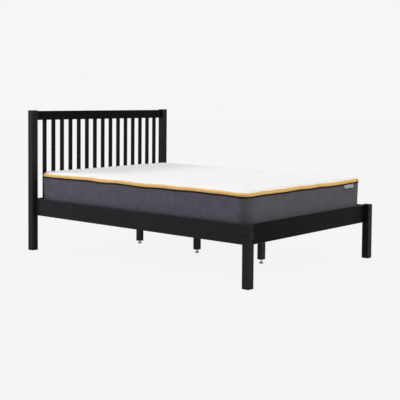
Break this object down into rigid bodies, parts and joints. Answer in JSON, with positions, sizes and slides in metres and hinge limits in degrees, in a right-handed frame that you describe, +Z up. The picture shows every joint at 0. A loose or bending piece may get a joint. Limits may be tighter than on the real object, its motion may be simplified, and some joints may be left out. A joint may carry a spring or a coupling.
{
  "type": "double bed",
  "caption": "Double bed with a black slatted headboard, low foot end, slat base with levelled centre legs, and a piped foam mattress that lifts out.",
  "frame": {"origin": "on the floor, under the middle of the frame's footprint", "axes": "+Z up, +Y from the foot end to the headboard, +X to the right when looking from the foot end to the headboard"},
  "size_m": [1.44, 2.02, 1.02],
  "materials": {
    "black_paint": "satin black paint on solid timber",
    "bare_timber": "planed, unfinished softwood",
    "bracket_steel": "black powder coat",
    "black_steel": "black oxide",
    "plated_steel": "zinc plated",
    "foot_steel": "bright nickel plate",
    "foam": "open-cell foam",
    "border_cloth": "knitted purple-grey border cloth",
    "top_cloth": "soft white knitted ticking",
    "piping_cloth": "golden yellow piping",
    "tag_cloth": "bare light grey woven tape"
  },
  "bodies": {
    "frame": {"head_post_left": "black_paint", "head_post_right": "black_paint", "foot_leg_left": "black_paint", "foot_leg_right": "black_paint", "head_top_rail": "black_paint", "head_lower_rail": "black_paint", "foot_rail": "black_paint", "side_rail_left": "black_paint", "side_rail_right": "black_paint", "centre_leg_head": "black_paint", "centre_leg_middle": "black_paint", "centre_leg_foot": "black_paint", "head_spindle_01": "black_paint", "head_spindle_02": "black_paint", "head_spindle_03": "black_paint", "head_spindle_04": "black_paint", "head_spindle_05": "black_paint", "head_spindle_06": "black_paint", "head_spindle_07": "black_paint", "head_spindle_08": "black_paint", "head_spindle_09": "black_paint", "head_spindle_10": "black_paint", "head_spindle_11": "black_paint", "head_spindle_12": "black_paint", "head_spindle_13": "black_paint", "head_spindle_14": "black_paint", "head_spindle_15": "black_paint", "slat_batten_left": "bare_timber", "slat_batten_right": "bare_timber", "centre_rail": "bare_timber", "rail_dowels": "bare_timber", "slat_01": "bare_timber", "slat_02": "bare_timber", "slat_03": "bare_timber", "slat_04": "bare_timber", "slat_05": "bare_timber", "slat_06": "bare_timber", "slat_07": "bare_timber", "slat_08": "bare_timber", "slat_09": "bare_timber", "slat_10": "bare_timber", "slat_11": "bare_timber", "slat_12": "bare_timber", "slat_13": "bare_timber", "centre_rail_brackets": "bracket_steel", "connector_bolts": "black_steel", "barrel_nuts": "plated_steel", "threaded_inserts": "plated_steel"},
    "mattress": {"mattress_core": "foam", "mattress_border": "border_cloth", "mattress_top": "top_cloth", "mattress_piping": "piping_cloth", "mattress_tag": "tag_cloth"},
    "leveller_pad_head": {"leveller_pad_head": "foot_steel"},
    "leveller_stud_head": {"leveller_stud_head": "foot_steel"},
    "leveller_pad_middle": {"leveller_pad_middle": "foot_steel"},
    "leveller_stud_middle": {"leveller_stud_middle": "foot_steel"},
    "leveller_pad_foot": {"leveller_pad_foot": "foot_steel"},
    "leveller_stud_foot": {"leveller_stud_foot": "foot_steel"}
  },
  "joints": [
    {"name": "mattress_lift", "type": "slide", "parent": "frame", "child": "mattress", "axis": [0, 0, 1], "range_m": [0, 0.3]},
    {"name": "pad_travel_head", "type": "slide", "parent": "frame", "child": "leveller_pad_head", "axis": [0, 0, 1], "range_m": [-0.02125, 0.0025]},
    {"name": "stud_turn_head", "type": "hinge", "parent": "leveller_pad_head", "child": "leveller_stud_head", "pos_m": [0, 0.573, 0], "axis": [0, 0, 1], "range_deg": [-6121, 721]},
    {"name": "pad_travel_middle", "type": "slide", "parent": "frame", "child": "leveller_pad_middle", "axis": [0, 0, 1], "range_m": [-0.0175, 0.00625]},
    {"name": "stud_turn_middle", "type": "hinge", "parent": "leveller_pad_middle", "child": "leveller_stud_middle", "pos_m": [0, 0, 0], "axis": [0, 0, 1], "range_deg": [-5041, 1801]},
    {"name": "pad_travel_foot", "type": "slide", "parent": "frame", "child": "leveller_pad_foot", "axis": [0, 0, 1], "range_m": [-0.01375, 0.01125]},
    {"name": "stud_turn_foot", "type": "hinge", "parent": "leveller_pad_foot", "child": "leveller_stud_foot", "pos_m": [0, -0.573, 0], "axis": [0, 0, 1], "range_deg": [-3961, 3241]}
  ],
  "couplings": [
    {"joint": "stud_turn_head", "follows": "pad_travel_head", "rad_per_m": 5026.5},
    {"joint": "stud_turn_middle", "follows": "pad_travel_middle", "rad_per_m": 5026.5},
    {"joint": "stud_turn_foot", "follows": "pad_travel_foot", "rad_per_m": 5026.5}
  ]
}
